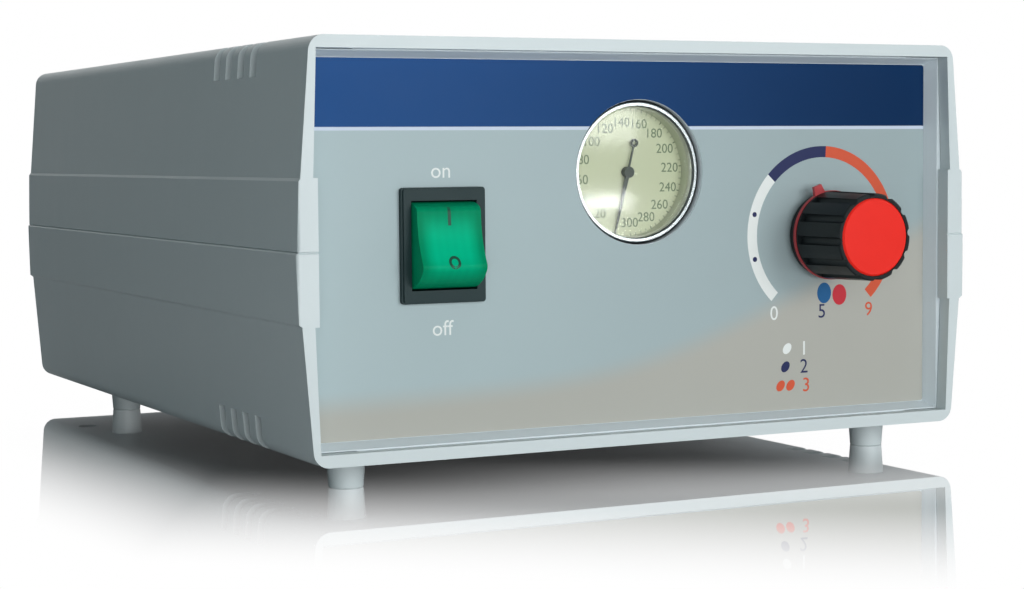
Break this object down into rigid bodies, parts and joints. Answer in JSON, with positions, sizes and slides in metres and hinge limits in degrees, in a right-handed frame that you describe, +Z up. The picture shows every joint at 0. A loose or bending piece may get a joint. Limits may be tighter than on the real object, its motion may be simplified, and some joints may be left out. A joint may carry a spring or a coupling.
{
  "type": "compression therapy pump",
  "caption": "Table-top air pump for limb compression cuffs: rocker switch, pressure gauge, turning pressure knob, rear hose outlets and a fused mains inlet.",
  "frame": {"origin": "on the surface it stands on, under the middle of the case", "axes": "+X to the right seen from the front, the front panel faces -Y, +Z up"},
  "size_m": [0.216, 0.3178, 0.1221],
  "materials": {
    "shell": "fine-textured moulded light grey",
    "panel": "satin moulded grey-green",
    "film": "matt printed film",
    "feet": "satin moulded light grey",
    "black": "satin moulded black",
    "rocker": "translucent green",
    "contacts": "plated",
    "bezel": "polished",
    "lens": "clear moulded",
    "spacer": "white",
    "dial": "cream paint with printed scale",
    "needle": "black paint",
    "works": "machined",
    "steel": "zinc plated",
    "armature": "plated magnet bar",
    "cores": "laminated steel, varnished",
    "coils": "enamelled copper under tape",
    "rubber": "moulded black rubber",
    "knob": "satin black",
    "cap": "red",
    "alloy": "turned",
    "motor": "plated can",
    "white": "acetal white",
    "fuse": "glass with metal caps",
    "hose": "milky silicone hose"
  },
  "bodies": {
    "case": {"upper_shell": "shell", "lower_shell": "shell", "front_panel": "panel", "panel_film": "film", "rear_panel": "panel", "case_screws": "steel", "foot_front_left": "feet", "foot_front_right": "feet", "foot_rear_left": "feet", "foot_rear_right": "feet", "foot_screws": "steel", "switch_housing": "black", "switch_terminals": "contacts", "gauge_case": "black", "gauge_bezel": "bezel", "gauge_lens": "lens", "gauge_spacer": "spacer", "gauge_dial": "dial", "gauge_plate": "works", "gauge_capsule": "works", "gauge_clamp": "steel", "gauge_screws": "steel", "regulator_body": "alloy", "regulator_nut": "steel", "regulator_spring": "steel", "regulator_poppet": "works", "pump_base": "steel", "pump_mounts": "rubber", "pump_frame": "black", "pump_cores": "cores", "pump_coils": "coils", "diaphragm_left": "rubber", "diaphragm_right": "rubber", "pump_heads": "black", "pump_screws": "steel", "motor_bracket": "steel", "gear_motor": "motor", "motor_screws": "steel", "valve_body": "white", "valve_cover": "white", "outlet_nozzles": "white", "nozzle_nuts": "steel", "mains_inlet": "black", "inlet_blades": "contacts", "inlet_screws": "steel", "outlet_hoses": "hose", "pressure_hoses": "hose"},
    "rocker": {"switch_rocker": "rocker"},
    "knob": {"knob_body": "knob", "knob_cap": "cap", "knob_pointer": "cap", "regulator_spindle": "works"},
    "plunger": {"regulator_plunger": "works"},
    "needle": {"gauge_needle": "needle"},
    "sector": {"gauge_sector": "works"},
    "armature": {"pump_armature": "armature"},
    "rotor": {"valve_disc": "works", "drive_shaft": "steel"},
    "drawer": {"fuse_drawer": "black", "fuses": "fuse"}
  },
  "joints": [
    {"name": "rocker_press", "type": "hinge", "parent": "case", "child": "rocker", "pos_m": [-0.0624, -0.1313, 0.066], "axis": [1, 0, 0], "range_deg": [0, 30]},
    {"name": "knob_turn", "type": "hinge", "parent": "case", "child": "knob", "pos_m": [0.0624, -0.1322, 0.0659], "axis": [0, 1, 0], "range_deg": [-117, 157]},
    {"name": "plunger_slide", "type": "slide", "parent": "case", "child": "plunger", "axis": [0, 1, 0], "range_m": [-0.0014, 0.0018], "deforming": ["regulator_spring"]},
    {"name": "needle_turn", "type": "hinge", "parent": "case", "child": "needle", "pos_m": [0, -0.1242, 0.0851], "axis": [0, 1, 0], "range_deg": [0, 342], "stiffness_Nm_per_rad": 0.000001, "springref_deg": -34.38},
    {"name": "sector_turn", "type": "hinge", "parent": "case", "child": "sector", "pos_m": [0, -0.1202, 0.0707], "axis": [0, 1, 0], "range_deg": [-43, 0.2]},
    {"name": "armature_slide", "type": "slide", "parent": "case", "child": "armature", "axis": [1, 0, 0], "range_m": [-0.0015, 0.0015], "stiffness_N_per_m": 3000, "deforming": ["diaphragm_left", "diaphragm_right"]},
    {"name": "rotor_spin", "type": "hinge", "parent": "case", "child": "rotor", "pos_m": [0.05, 0.008, 0.05], "axis": [0, 1, 0], "continuous": true},
    {"name": "drawer_slide", "type": "slide", "parent": "case", "child": "drawer", "axis": [0, 1, 0], "range_m": [0, 0.012]}
  ],
  "couplings": [
    {"joint": "plunger_slide", "follows": "knob_turn", "m_per_rad": 0.00063662},
    {"joint": "sector_turn", "follows": "needle_turn", "ratio": -0.125}
  ]
}
